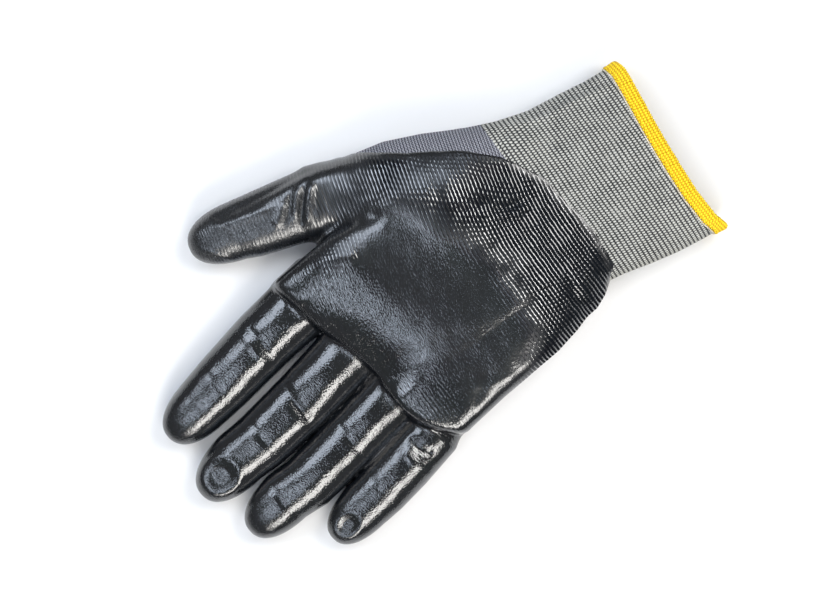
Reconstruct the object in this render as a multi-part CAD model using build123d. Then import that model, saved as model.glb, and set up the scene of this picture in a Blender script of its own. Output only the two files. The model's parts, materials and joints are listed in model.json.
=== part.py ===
from build123d import *

import math
import os

# One right-hand work glove in millimetres, lying on its back with the palm up, filled out as if worn.
# Hand frame: X from the cuff's hem towards the fingertips, Y towards the little finger, Z up out of the palm.
# The files are written in a frame with its origin at the bottom centre of the whole glove.

# Fabric
LINER_WALL = 1.5
COATING_WALL = 0.6
SECTION_POWER = 2.6          # how square the palm and cuff sections are; 2 is an ellipse
SECTION_POINTS = 14
FLOOR_SINK = 1.5             # a section dips this far, and is cut flat at the floor

# Hinges
HINGE_GAP = 1.0              # along the digit, on each side of a hinge
ANGLE_MARGIN = 2.0           # degrees left open on each side of a fully bent joint
PALM_WEDGE_SHARE = 0.45      # share of a root joint's bend that is cut out of the palm
HINGE_SHARE = 0.56           # hinge height as a share of the digit's thickness
THUMB_ROLL = 20.0            # degrees that the thumb's bend leans towards the fingers
WRIST = (55.0, -10.5, 15.0)
WRIST_FLEXION = 50.0
WRIST_EXTENSION = 30.0
JOINTS = {
    2: (("mcp", 38.0), ("ip", 50.0)),
    3: (("mcp", 70.0), ("pip", 80.0), ("dip", 40.0)),
}
SEGMENT_NAMES = {2: ("proximal", "distal"), 3: ("proximal", "middle", "distal")}

# Cuff and hem: each section is its place along X, its low and high sides across Y, and its top
CUFF_SECTIONS = [(-8.0, -41.0, 41.6, 26.0), (25.0, -46.0, 37.5, 28.5), (70.0, -52.5, 29.5, 31.0)]
HEM_SKEW = 3.3               # degrees that the hem leans in plan
HEM_BAND = 5.0               # width of the overlocked band
HEM_WALL = 0.6
HEM_LIP = 0.8                # how far the band stands past the knitted edge
ELASTIC_COUNT = 8
ELASTIC_PITCH = 4.5
ELASTIC_FIRST = 9.0
ELASTIC_RADIUS = 0.4
ELASTIC_INSET = 0.9          # from the cuff's inner face to a yarn's middle

# Palm sections, and the thenar lobe that carries the thumb
PALM_SECTIONS = [
    (44.0, -50.5, 29.0, 30.0),
    (62.0, -52.0, 33.5, 31.5),
    (85.0, -53.0, 38.5, 33.0),
    (115.0, -54.5, 42.0, 34.0),
    (145.0, -56.0, 45.0, 33.0),
    (172.0, -56.5, 50.0, 29.0),
]
THENAR_START = (60.0, -36.0)
THENAR_START_RADIUS = 18.0
THENAR_END_RADIUS = 14.2
THENAR_FLATTENING = 0.88
THENAR_OVERRUN = 14.0        # how far the lobe runs past the thumb's hinge before it is cut

# The line of the four finger roots, square to the fingers' mean direction
KNUCKLE_LINE = (159.4, -5.0)
KNUCKLE_ANGLE = 8.0
THUMB_CLEAR_OF_KNUCKLES = -58.5

# Coating: its edge over the heel and the thumb base, and how far down the sides the dip reaches
COATING_EDGE = [(48.0, 60.0), (48.0, -14.0), (56.0, -33.0), (72.0, -52.0), (100.0, -73.0), (122.0, -86.0)]
COATING_BEYOND = [(200.0, -120.0), (200.0, 60.0)]
COATING_LEVEL = 11.0
DIGIT_COATING_SHARE = 0.42
TIP_DIP = 15.0               # length of the fingertip that is coated all round

# Each digit: its root hinge in plan, heading, phalanx lengths, and root and tip radius
DIGITS = {
    "index": {"root": (164.5, -41.6), "heading": 8.2, "phalanges": (27.0, 25.0, 31.5), "radii": (13.3, 10.8)},
    "middle": {"root": (160.4, -13.4), "heading": 7.8, "phalanges": (31.0, 25.5, 35.0), "radii": (13.0, 10.8)},
    "ring": {"root": (156.8, 13.2), "heading": 7.2, "phalanges": (31.0, 25.0, 32.0), "radii": (11.3, 10.4)},
    "little": {"root": (153.2, 36.6), "heading": 9.2, "phalanges": (25.0, 19.0, 21.0), "radii": (10.7, 9.4)},
    "thumb": {"root": (134.0, -74.2), "heading": -17.0, "phalanges": (27.0, 31.0), "radii": (13.9, 10.4)},
}
DIGIT_FLATTENING = 0.84
DIGIT_START = -6.0           # where a digit's form begins, before its root is cut
THUMB_SPACE_WIDTH = 34.0

# Cutting tools reach well past the glove
FAR = 60.0
REACH = 400.0


def oval_section(x, y_low, y_high, z_low, z_high):
    """A closed smooth section across X, between an ellipse and a rectangle."""
    half_width = (y_high - y_low) / 2
    half_height = (z_high - z_low) / 2
    points = []
    for step in range(SECTION_POINTS):
        turn = 2 * math.pi * (step + 0.5) / SECTION_POINTS
        across = math.copysign(abs(math.cos(turn)) ** (2 / SECTION_POWER), math.cos(turn))
        up = math.copysign(abs(math.sin(turn)) ** (2 / SECTION_POWER), math.sin(turn))
        points.append((x, (y_low + y_high) / 2 + half_width * across, (z_low + z_high) / 2 + half_height * up))
    return Face(Wire([Spline(*points, periodic=True).edge()]))


def sleeve(sections, grow):
    """The palm's or cuff's form, grown outwards by a distance; a negative one gives the space inside."""
    faces = []
    for x, y_low, y_high, top in sections:
        bottom = -FLOOR_SINK if grow >= 0 else -grow
        faces.append(oval_section(x, y_low - grow, y_high + grow, bottom, top + grow))
    return loft(faces)


def above_floor(solid):
    """Everything above the floor."""
    return solid - Pos(0, 0, -REACH / 2) * Box(2 * REACH, 2 * REACH, REACH)


def plan_place(point, heading):
    """From a frame with X along a heading to the hand frame."""
    return Pos(point[0], point[1], 0) * Rot(0, 0, heading)


def across(points, width):
    """A prism across Y from an outline in X and Z."""
    return extrude(Plane.XZ * make_face(Polyline(*points, close=True)), width / 2, both=True)


def slope(degrees):
    """How far a wedge's face leans along X for each millimetre up."""
    return math.tan(math.radians(degrees))


def digit_height(digit):
    return 2 * digit["radii"][0] * DIGIT_FLATTENING


def hinge_height(digit):
    return digit_height(digit) * HINGE_SHARE


def tapered_capsule(digit, grow):
    """A tapered finger with a round tip, about the X axis, grown outwards by a distance."""
    root_radius, tip_radius = digit["radii"]
    straight = sum(digit["phalanges"]) - tip_radius
    tip = tip_radius + grow
    outline = Polyline((straight + tip, 0), (DIGIT_START, 0), (DIGIT_START, root_radius + grow), (straight, tip))
    return revolve(Plane.XZ * make_face(outline + CenterArc((straight, 0), tip, 0, 90)), Axis.X)


def digit_form(digit, grow):
    """A digit in its own frame, flattened and resting on the floor, grown outwards by a distance."""
    root_radius, tip_radius = digit["radii"]
    taper = (root_radius - tip_radius) * DIGIT_FLATTENING / sum(digit["phalanges"])
    flat_form = scale(tapered_capsule(digit, grow), by=(1, 1, DIGIT_FLATTENING))
    centre_height = root_radius * DIGIT_FLATTENING + COATING_WALL
    return Pos(0, 0, centre_height) * Rot(0, math.degrees(math.atan(taper)), 0) * flat_form


def roll_to_bend(digit, tool):
    """Leans a thumb's cutting tool with its hinges, which face the fingers a little."""
    if len(digit["phalanges"]) == 3:
        return tool
    height = hinge_height(digit)
    return Pos(0, 0, height) * Rot(-THUMB_ROLL, 0, 0) * Pos(0, 0, -height) * tool


def segment_space(digit, index):
    """The space that one segment keeps: square below hinge height, leaning back from each bend above it."""
    lengths = digit["phalanges"]
    joints = JOINTS[len(lengths)]
    height = hinge_height(digit)
    start = sum(lengths[:index]) + HINGE_GAP
    end = sum(lengths[: index + 1]) - HINGE_GAP
    root_share = 1 - PALM_WEDGE_SHARE if index == 0 else 0.5
    start_slope = slope(joints[index][1] * root_share + ANGLE_MARGIN)
    if index == len(lengths) - 1:
        top = FAR / 2
        end += FAR
        points = [(start, height), (start + top * start_slope, height + top), (end, height + top)]
    else:
        end_slope = slope(joints[index + 1][1] * 0.5 + ANGLE_MARGIN)
        rise = (end - start) / (start_slope + end_slope)
        points = [(start, height), (start + rise * start_slope, height + rise), (end, height)]
    points += [(end, -FAR), (start, -FAR)]
    return roll_to_bend(digit, across(points, FAR))


def digit_liner(digit, index):
    """The knitted tube of one segment."""
    return (digit_form(digit, 0) - digit_form(digit, -LINER_WALL)) & segment_space(digit, index)


def digit_coating(digit, index):
    """The dipped skin of one segment: its palm side, and all round at the fingertip."""
    skin = digit_form(digit, COATING_WALL) - digit_form(digit, 0)
    palm_side = Pos(0, 0, digit_height(digit) * DIGIT_COATING_SHARE + REACH / 2) * Box(2 * REACH, REACH, REACH)
    coated = palm_side
    if index == len(digit["phalanges"]) - 1:
        dip_start = sum(digit["phalanges"]) - TIP_DIP
        coated = palm_side + Pos(dip_start + REACH / 2, 0, 0) * Box(REACH, REACH, REACH)
    return skin & segment_space(digit, index) & coated


def thenar_form(grow):
    """The lobe at the base of the thumb, from the heel of the hand to past the thumb's hinge."""
    root = DIGITS["thumb"]["root"]
    run = (root[0] - THENAR_START[0], root[1] - THENAR_START[1])
    length = math.hypot(*run) + THENAR_OVERRUN
    taper = (THENAR_START_RADIUS - THENAR_END_RADIUS) / math.hypot(*run)
    start = 0.0 if grow >= 0 else -LINER_WALL
    start_radius = THENAR_START_RADIUS + grow
    end_radius = start_radius - taper * length
    outline = Polyline((start, 0), (start, start_radius), (length, end_radius), (length, 0), close=True)
    round_form = revolve(Plane.XZ * make_face(outline), Axis.X)
    flat_form = scale(round_form, by=(1, 1, THENAR_FLATTENING))
    droop = math.degrees(math.atan(taper * THENAR_FLATTENING))
    lift = THENAR_START_RADIUS * THENAR_FLATTENING
    heading = math.degrees(math.atan2(run[1], run[0]))
    return Pos(0, 0, lift) * plan_place(THENAR_START, heading) * Rot(0, droop, 0) * flat_form


def swing_space(height, joint_range, width):
    """The space past a root hinge that a digit swings through, in a frame at the hinge."""
    back = -HINGE_GAP - FAR * slope(joint_range * PALM_WEDGE_SHARE + ANGLE_MARGIN)
    outline = [(-HINGE_GAP, -FAR), (-HINGE_GAP, height), (back, height + FAR), (FAR, height + FAR), (FAR, -FAR)]
    return across(outline, width)


def knuckle_space():
    """The space in front of the palm that the four fingers swing through."""
    space = swing_space(hinge_height(DIGITS["middle"]), JOINTS[3][0][1], REACH)
    beside_thumb = Pos(0, THUMB_CLEAR_OF_KNUCKLES - REACH / 2, 0) * Box(2 * REACH, REACH, REACH)
    return plan_place(KNUCKLE_LINE, KNUCKLE_ANGLE) * space - beside_thumb


def thumb_root_space():
    """The space in front of the thenar lobe that the thumb swings through."""
    thumb = DIGITS["thumb"]
    space = swing_space(hinge_height(thumb), JOINTS[2][0][1], THUMB_SPACE_WIDTH)
    beside_fingers = Pos(0, THUMB_CLEAR_OF_KNUCKLES + REACH / 2, 0) * Box(2 * REACH, REACH, REACH)
    return plan_place(thumb["root"], thumb["heading"]) * roll_to_bend(thumb, space) - beside_fingers


def wrist_half(side):
    """The half space of the hand (side 1) or the cuff (side -1), leaning back from both bends of the wrist."""
    x, _, z = WRIST
    above = HINGE_GAP + FAR * slope(WRIST_FLEXION / 2 + ANGLE_MARGIN)
    below = HINGE_GAP + FAR * slope(WRIST_EXTENSION / 2 + ANGLE_MARGIN)
    outline = [
        (x + side * HINGE_GAP, z),
        (x + side * above, z + FAR),
        (x + side * REACH, z + FAR),
        (x + side * REACH, z - FAR),
        (x + side * below, z - FAR),
    ]
    return across(outline, REACH)


def hand_form(grow):
    return sleeve(PALM_SECTIONS, grow) + thenar_form(grow)


def trim_hand(solid):
    """Cuts the hand at the wrist, the knuckle line and the thumb's root."""
    return (solid & wrist_half(1)) - knuckle_space() - thumb_root_space()


def hand_liner():
    """Knitted shell of the palm, the back and the thumb base."""
    return trim_hand(above_floor(hand_form(0)) - hand_form(-LINER_WALL))


def palm_coating():
    """Dipped skin on the palm, its heel and the thumb base."""
    coated_plan = make_face(Polyline(*COATING_EDGE, *COATING_BEYOND, close=True))
    coated = Pos(0, 0, COATING_LEVEL) * extrude(coated_plan, FAR, dir=(0, 0, 1))
    return trim_hand(hand_form(COATING_WALL) & coated) - hand_form(0)


def hem_slab(start, end):
    """A slab parallel to the hem, between two distances from the glove's open end."""
    slab = Pos((start + end) / 2, 0, 0) * Box(end - start, REACH, REACH)
    return Rot(0, 0, -HEM_SKEW) * slab


def cuff_knit():
    """Elastic knitted cuff, from under the hem to the wrist."""
    form = above_floor(sleeve(CUFF_SECTIONS, 0)) & wrist_half(-1) & hem_slab(HEM_LIP, REACH)
    return form - sleeve(CUFF_SECTIONS, -LINER_WALL)


def cuff_size_at(x):
    """The cuff's low side, high side and top at a place along it."""
    (x_a, *sizes_a), (x_b, *sizes_b) = CUFF_SECTIONS[:2] if x < CUFF_SECTIONS[1][0] else CUFF_SECTIONS[1:]
    share = (x - x_a) / (x_b - x_a)
    return [size_a + share * (size_b - size_a) for size_a, size_b in zip(sizes_a, sizes_b)]


def elastic_yarn(x):
    """One elastic yarn, a closed ring just inside the cuff."""
    inset = LINER_WALL + ELASTIC_INSET
    y_low, y_high, top = cuff_size_at(x)
    path = oval_section(x, y_low + inset, y_high - inset, inset, top - inset).outer_wire()
    start = path @ 0
    section = Plane(origin=start, z_dir=path % 0) * Circle(ELASTIC_RADIUS)
    return sweep(section, path=path).solid()


def elastic_yarns():
    """The elastic yarns laid in along the cuff's inner face."""
    return Compound(children=[elastic_yarn(ELASTIC_FIRST + n * ELASTIC_PITCH) for n in range(ELASTIC_COUNT)])


def hem_overlock():
    """The coloured overlock band that binds the cuff's edge, round its end and down its outside."""
    band = above_floor(sleeve(CUFF_SECTIONS, HEM_WALL)) & hem_slab(0, HEM_BAND)
    knit = above_floor(sleeve(CUFF_SECTIONS, 0)) & hem_slab(HEM_LIP, HEM_BAND + HEM_LIP)
    mouth = sleeve(CUFF_SECTIONS, -LINER_WALL) & hem_slab(-HEM_LIP, HEM_BAND + HEM_LIP)
    return band - knit - mouth


def glove_parts():
    """Every node of the glove in the hand frame."""
    parts = {
        "hand_liner": hand_liner(),
        "palm_coating": palm_coating(),
        "cuff_knit": cuff_knit(),
        "cuff_elastic_yarns": elastic_yarns(),
        "hem_overlock": hem_overlock(),
    }
    for name, digit in DIGITS.items():
        place = plan_place(digit["root"], digit["heading"])
        for index, segment in enumerate(SEGMENT_NAMES[len(digit["phalanges"])]):
            parts[f"{name}_{segment}_liner"] = place * digit_liner(digit, index)
            parts[f"{name}_{segment}_coating"] = place * digit_coating(digit, index)
    return parts


def digit_hinges(name, digit):
    """A digit's hinges from root to tip: name, place and axis in the hand frame, and range in degrees."""
    heading = math.radians(digit["heading"])
    lean = math.radians(THUMB_ROLL if len(digit["phalanges"]) == 2 else 0)
    axis = (math.sin(heading) * math.cos(lean), -math.cos(heading) * math.cos(lean), math.sin(lean))
    hinges = []
    for index, (joint, bend) in enumerate(JOINTS[len(digit["phalanges"])]):
        along = sum(digit["phalanges"][:index])
        x = digit["root"][0] + along * math.cos(heading)
        y = digit["root"][1] + along * math.sin(heading)
        hinges.append((f"{name}_{joint}", (x, y, hinge_height(digit)), axis, (0.0, bend)))
    return hinges


def all_hinges():
    """Every hinge of the glove; a positive turn bends towards the palm."""
    hinges = [("wrist", WRIST, (0.0, 1.0, 0.0), (-WRIST_EXTENSION, WRIST_FLEXION))]
    for name, digit in DIGITS.items():
        hinges += digit_hinges(name, digit)
    return hinges


def write_parts():
    """Moves the glove to its bottom centre and writes one STEP file for each node."""
    parts = glove_parts()
    boxes = [solid.bounding_box() for solid in parts.values()]
    middle_x = (min(box.min.X for box in boxes) + max(box.max.X for box in boxes)) / 2
    middle_y = (min(box.min.Y for box in boxes) + max(box.max.Y for box in boxes)) / 2
    shift = (-middle_x, -middle_y, -min(box.min.Z for box in boxes))
    os.makedirs("parts", exist_ok=True)
    for name, solid in parts.items():
        export_step(Pos(*shift) * solid, f"parts/{name}.step")
    return shift


SHIFT = write_parts()
print("hand frame to written frame:", [round(distance, 3) for distance in SHIFT])
for hinge_name, hinge_place, hinge_axis, hinge_range in all_hinges():
    print(hinge_name, hinge_place, hinge_axis, hinge_range)
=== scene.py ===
import json
import math

import bpy
import numpy as np
from mathutils import Matrix, Vector


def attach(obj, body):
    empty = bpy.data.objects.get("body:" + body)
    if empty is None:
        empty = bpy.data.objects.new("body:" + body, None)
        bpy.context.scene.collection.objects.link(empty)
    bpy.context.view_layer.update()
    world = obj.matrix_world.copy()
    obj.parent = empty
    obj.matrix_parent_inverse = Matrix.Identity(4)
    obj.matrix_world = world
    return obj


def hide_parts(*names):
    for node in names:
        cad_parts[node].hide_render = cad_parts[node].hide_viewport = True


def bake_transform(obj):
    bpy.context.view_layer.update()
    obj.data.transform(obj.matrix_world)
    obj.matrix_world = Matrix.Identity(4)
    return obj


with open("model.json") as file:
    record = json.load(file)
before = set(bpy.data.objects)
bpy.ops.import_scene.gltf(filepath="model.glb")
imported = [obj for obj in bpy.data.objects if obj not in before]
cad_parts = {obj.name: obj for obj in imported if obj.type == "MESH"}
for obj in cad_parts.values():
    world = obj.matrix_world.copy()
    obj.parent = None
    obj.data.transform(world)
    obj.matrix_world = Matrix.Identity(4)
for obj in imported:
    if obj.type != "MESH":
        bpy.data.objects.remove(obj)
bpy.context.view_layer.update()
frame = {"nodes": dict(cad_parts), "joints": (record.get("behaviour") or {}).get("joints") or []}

# Lengths are in millimetres in the hand frame, X from the hem to the fingertips, Y towards the little finger
# and Z up out of the palm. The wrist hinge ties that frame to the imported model's.
MM = 0.001
WRIST = np.array((55.0, -10.5, 15.0))
HINGES = {joint["name"]: joint for joint in frame["joints"]}
SHIFT = np.array(HINGES["wrist"]["pos_m"]) / MM - WRIST

GRID = 0.9        # spacing of the hand's surface mesh
LINER_THICKNESS = 1.1
COATING_THICKNESS = 0.55
COATING_SINK = 0.2           # past its edge the skin dips this far into the knit
COATED_FROM = -0.8           # distance inside the coating's edge where its skin starts
HIDDEN_FROM = 2.5            # and where the knit under it is left out
DIGIT_FLATTENING = 0.78
DIGIT_POWER = 2.3            # of a digit's section, where 2 is an ellipse
DIGIT_LIFT = 0.3
ROOT_REACH = 12.0            # a digit's form starts this far inside the palm

# Each digit: its length from the root hinge, half widths at places along it, where its round tip starts,
# and how far its middle line strays sideways at those places
DIGITS = {
    "index": dict(length=83.8, places=(0, 25, 50, 64), widths=(14.4, 13.9, 13.1, 12.2), tip=60,
                  sway=(-0.6, -1.6, -1.3, -1.2)),
    "middle": dict(length=91.6, places=(0, 30, 56, 68), widths=(13.6, 13.4, 13.0, 12.6), tip=66,
                   sway=(-0.3, 0.4, 0.1, -1.4)),
    "ring": dict(length=88.0, places=(0, 30, 55, 66), widths=(12.6, 12.4, 12.3, 11.9), tip=64,
                 sway=(-0.4, 0.6, 0.8, -1.2)),
    "little": dict(length=65.0, places=(-10, 0, 20, 35, 45), widths=(7.6, 11.4, 11.8, 11.5, 11.1), tip=42,
                   sway=(-0.5, 0.0, 0.5, 0.7, 0.2)),
    "thumb": dict(length=58.6, places=(-12, 0, 17, 30, 37), widths=(11.8, 14.6, 14.2, 13.4, 12.6), tip=34,
                  sway=(2.0, 0.6, 1.1, 1.1, 0.6)),
}
FINGER_SEGMENTS = {"proximal": "mcp", "middle": "pip", "distal": "dip"}    # and the joint before each
THUMB_SEGMENTS = {"proximal": "mcp", "distal": "ip"}

# The palm and cuff at places along X: low side, high side, top
SIDE_X = (-6, 0, 12, 24, 36, 48, 55, 60, 66, 72, 78, 90, 102, 120, 138, 150, 165, 180)
LOW_SIDE = (-42, -42.5, -44, -46.3, -48.3, -50.6, -52, -53, -53.5, -54, -54, -54, -54.5, -55.5,
            -57.3, -57, -56.5, -56)
HIGH_SIDE = (42, 41.5, 39.8, 37.8, 34.8, 31.3, 29.8, 33.2, 35.6, 36.0, 37.8, 40, 40.6, 41.7,
             43.6, 45.5, 49.5, 52)
TOP = (24, 25, 26.5, 27.5, 28.5, 29.5, 30.2, 31, 32, 33, 33.6, 34, 33.4, 32.6, 32.2, 31, 28, 25)
SECTION_SINK = 0.75          # lowers a section's middle and adds to its half height
SECTION_POWER = 2.6
FLATTER_X = (50, 85, 112)    # towards the fingers the palm's section is squarer
FLATTER_POWER = (SECTION_POWER, 3.8, 6.5)

# The ridge behind the fingers at places across the palm, and how steeply the palm falls away past it
RIDGE_Y = (-52, -44, -40, -25, -10, 8, 26, 44)
RIDGE_X = (158, 155, 151, 144.5, 138.5, 132.5, 137, 139)
RIDGE_TOP = 31.5
FALL_Y = (-44, 2, 16, 44)
RIDGE_FALL = (0.25, 0.25, 0.05, 0.05)
BROW_WIDTH = 8.0             # past the ridge the palm falls away more steeply
BROW_FALL = (0.50, 0.50, 0.08, 0.08)

# The palm's end at the roots of the fingers, which leans back as it rises
EDGE_Y = (-52, -40, -30, -15, -5, 5, 20, 28, 36, 44)
EDGE_X = (168.5, 166.5, 165, 160.5, 159, 158.5, 157.5, 155, 150, 143)
EDGE_TOP = 27.0
EDGE_LEAN = 0.22
EDGE_STEEPNESS = 0.95

# The lobe at the base of the thumb, a flattened cone from its start to the thumb's root hinge
THENAR_START = np.array((60.0, -36.0))
THENAR_SHARE = (0, 0.2, 0.4, 0.6, 0.8, 1.0)
THENAR_RADIUS = (16.6, 18.6, 19.4, 19.0, 15.6, 13.4)
THENAR_FLATTENING = 0.88
THENAR_FLATTER = 0.08        # and this much flatter at the thumb
THENAR_LIFT = 0.2
THENAR_ROUNDING = 16.0

# How softly each form ends or meets the next
SOFTNESS = {"digit_root": 2.0, "ridge": 3.0, "brow": 2.2, "edge": 3.5, "lobe_end": 7.0,
            "lobe": 9.0, "thumb": 7.0, "finger": 2.2, "back": 0.8}


def smooth_min(a, b, reach):
    share = np.clip(0.5 + 0.5 * (b - a) / reach, 0, 1)
    return b * (1 - share) + a * share - reach * share * (1 - share)


def smooth_max(a, b, reach):
    return -smooth_min(-a, -b, reach)


def smooth_step(low, high, value):
    share = np.clip((value - low) / (high - low), 0, 1)
    return share * share * (3 - 2 * share)


def rounded(a, b, power):
    """Distance from the middle of a rounded square: 1 all round where its half sides are 1."""
    return (a ** power + b ** power) ** (1 / power)


def digit_segments(name):
    """A digit's segments from its root, each with its joint's name."""
    return THUMB_SEGMENTS if name == "thumb" else FINGER_SEGMENTS


def digit_hinges(name):
    """A digit's hinge places in the hand frame, from root to tip."""
    joints = digit_segments(name).values()
    return [np.array(HINGES[f"{name}_{joint}"]["pos_m"]) / MM - SHIFT for joint in joints]


def digit_heading(name):
    """Unit vector along a digit, in plan."""
    hinges = digit_hinges(name)
    run = hinges[1][:2] - hinges[0][:2]
    return run / np.linalg.norm(run)


def plan_frame(points, origin, heading):
    """How far points lie along a heading from an origin and to its side, in plan."""
    offset = points[..., :2] - origin
    return offset @ heading, offset @ np.array((-heading[1], heading[0]))


def digit_place(name, points):
    """A digit's own frame: places along it, to its side and up from its middle line, and its half width."""
    digit = DIGITS[name]
    along, side = plan_frame(points, digit_hinges(name)[0][:2], digit_heading(name))
    side = side - np.interp(along, digit["places"], digit["sway"])
    width = np.interp(along, digit["places"], digit["widths"])
    up = points[..., 2] - width * DIGIT_FLATTENING - DIGIT_LIFT
    return along, side, up, width


def digit_field(name, points):
    """Signed distance, roughly, to a digit's surface."""
    digit = DIGITS[name]
    along, side, up, width = digit_place(name, points)
    around = rounded(np.abs(side), np.abs(up / DIGIT_FLATTENING), DIGIT_POWER)
    past = np.clip((along - digit["tip"]) / (digit["length"] - digit["tip"]), 0, None)
    field = width * (rounded(around / width, past, DIGIT_POWER) - 1)
    return smooth_max(field, -along - ROOT_REACH, SOFTNESS["digit_root"])


def sleeve_size(x):
    """Middle, half width, middle height and half height of the palm's or cuff's section."""
    low = np.interp(x, SIDE_X, LOW_SIDE)
    high = np.interp(x, SIDE_X, HIGH_SIDE)
    half_top = np.interp(x, SIDE_X, TOP) / 2
    return (low + high) / 2, (high - low) / 2, half_top - SECTION_SINK, half_top + SECTION_SINK


def section_field(points):
    """Signed distance, roughly, to the palm's section run straight on."""
    middle, half_width, centre, half_height = sleeve_size(points[..., 0])
    power = np.interp(points[..., 0], FLATTER_X, FLATTER_POWER)
    y = np.abs(points[..., 1] - middle) / half_width + 1e-6
    z = np.abs(points[..., 2] - centre) / half_height + 1e-6
    around = rounded(y, z, power)
    steepness = np.hypot(y ** (power - 1) / half_width, z ** (power - 1) / half_height)
    return (around - 1) * around ** (power - 1) / np.maximum(steepness, 0.012)


def slope_field(points, start, top, falls):
    """Signed distance to a surface that falls away towards the fingers from a start X and a top."""
    fall = np.interp(points[..., 1], FALL_Y, falls)
    return (points[..., 2] - top + (points[..., 0] - start) * fall) / np.hypot(1, fall)


def palm_field(points):
    """Signed distance, roughly, to the palm, which falls away past its ridge and ends at the fingers."""
    ridge = np.interp(points[..., 1], RIDGE_Y, RIDGE_X)
    brow_top = RIDGE_TOP - BROW_WIDTH * np.interp(points[..., 1], FALL_Y, RIDGE_FALL)
    past_ridge = slope_field(points, ridge, RIDGE_TOP, RIDGE_FALL)
    past_brow = slope_field(points, ridge + BROW_WIDTH, brow_top, BROW_FALL)
    edge = np.interp(points[..., 1], EDGE_Y, EDGE_X)
    past_edge = (points[..., 0] - edge + (points[..., 2] - EDGE_TOP) * EDGE_LEAN) * EDGE_STEEPNESS
    field = smooth_max(section_field(points), past_ridge, SOFTNESS["ridge"])
    field = smooth_max(field, past_brow, SOFTNESS["brow"])
    return smooth_max(field, past_edge, SOFTNESS["edge"])


def thenar_field(points):
    """Signed distance, roughly, to the lobe at the base of the thumb."""
    run = digit_hinges("thumb")[0][:2] - THENAR_START
    length = np.linalg.norm(run)
    along, side = plan_frame(points, THENAR_START, run / length)
    share = np.clip(along / length, 0, 1)
    radius = np.interp(share, THENAR_SHARE, THENAR_RADIUS)
    flattening = THENAR_FLATTENING - THENAR_FLATTER * share
    up = (points[..., 2] - radius * flattening - THENAR_LIFT) / flattening
    around = rounded(np.abs(side), np.abs(up), DIGIT_POWER)
    before = np.clip(-along / THENAR_ROUNDING, 0, None)
    field = radius * (rounded(np.clip(around / radius, 1e-6, None), before, DIGIT_POWER) - 1)
    return smooth_max(field, along - length - 1.0, SOFTNESS["lobe_end"])


def hand_field(points):
    """Signed distance, roughly, to the hand's outer knitted surface."""
    field = smooth_min(palm_field(points), thenar_field(points), SOFTNESS["lobe"])
    field = smooth_min(field, digit_field("thumb", points), SOFTNESS["thumb"])
    for name in ("index", "middle", "ring", "little"):
        field = smooth_min(field, digit_field(name, points), SOFTNESS["finger"])
    return smooth_max(field, -points[..., 2], SOFTNESS["back"])


def field_slope(points):
    """The slope of the hand's field at each point, about a unit long and outwards."""
    step = 0.2
    slope = np.empty_like(points)
    for axis in range(3):
        move = np.zeros(3)
        move[axis] = step
        slope[:, axis] = (hand_field(points + move) - hand_field(points - move)) / (2 * step)
    return slope


CORNERS = [(i, j, k) for i in (0, 1) for j in (0, 1) for k in (0, 1)]
HAND_LOW = np.array((43.0, -104.0, -3.0))
HAND_HIGH = np.array((256.0, 60.0, 41.0))


def crossing_places(field, cells):
    """The middle of the field's sign changes on each grid cell's edges, in cells."""
    total = np.zeros((len(cells), 3))
    hits = np.zeros(len(cells))
    for a in CORNERS:
        for axis in range(3):
            if a[axis]:
                continue
            b = tuple(c + (n == axis) for n, c in enumerate(a))
            value_a = field[tuple((cells + a).T)]
            value_b = field[tuple((cells + b).T)]
            cross = (value_a < 0) != (value_b < 0)
            share = np.where(cross, value_a / np.where(cross, value_a - value_b, 1), 0)
            place = np.array(a, float) + share[:, None] * np.eye(3)[axis]
            total += place * cross[:, None]
            hits += cross
    return cells + total / hits[:, None]


def crossing_faces(inside, number, axis, flip):
    """A face round each grid edge along an axis that leaves the surface, or enters it when flipped."""
    size = number.shape
    other = [n for n in range(3) if n != axis]
    start = inside[tuple(slice(1, s) if n != axis else slice(0, s) for n, s in enumerate(size))]
    end = inside[tuple(slice(1, s) if n != axis else slice(1, s + 1) for n, s in enumerate(size))]
    edges = np.argwhere((~start & end) if flip else (start & ~end))
    edges[:, other] += 1
    ring = []
    for step in ((-1, -1), (0, -1), (0, 0), (-1, 0)):
        cell = edges.copy()
        cell[:, other] += step
        ring.append(number[tuple(cell.T)])
    quads = np.stack(ring, axis=1)
    return quads[:, ::-1] if flip != (axis == 1) else quads


def surface_net(field, low):
    """Points and four-sided faces of the zero surface of a sampled field."""
    inside = field < 0
    size = np.array(field.shape) - 1
    count = np.zeros(size, np.int8)
    for corner in CORNERS:
        count += inside[tuple(slice(c, c + s) for c, s in zip(corner, size))]
    cells = np.argwhere((count > 0) & (count < len(CORNERS)))
    number = -np.ones(size, int)
    number[tuple(cells.T)] = np.arange(len(cells))
    faces = [crossing_faces(inside, number, axis, flip) for axis in range(3) for flip in (False, True)]
    faces = np.concatenate(faces)
    return low + crossing_places(field, cells) * GRID, faces[(faces >= 0).all(axis=1)]


def settle(points, rounds, longest, keep_x=False):
    """Moves points near the hand's surface onto it, by no more than the longest step each round."""
    for _ in range(rounds):
        slope = field_slope(points)
        if keep_x:
            slope[:, 0] = 0
        steep = np.maximum((slope ** 2).sum(axis=1), 0.05)
        move = slope * (hand_field(points) / steep)[:, None]
        points = points - np.clip(move, -longest, longest)
    return points


def hand_surface():
    """Points and faces of the hand's outer knitted surface."""
    axes = [np.arange(low, high, GRID) for low, high in zip(HAND_LOW, HAND_HIGH)]
    field = np.empty([len(axis) for axis in axes], np.float32)
    for index, x in enumerate(axes[0]):
        layer = np.stack(np.meshgrid([x], axes[1], axes[2], indexing="ij"), axis=-1)
        field[index] = hand_field(layer)[0]
    points, faces = surface_net(field, HAND_LOW)
    return settle(points, 4, 0.5 * GRID), faces


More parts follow.
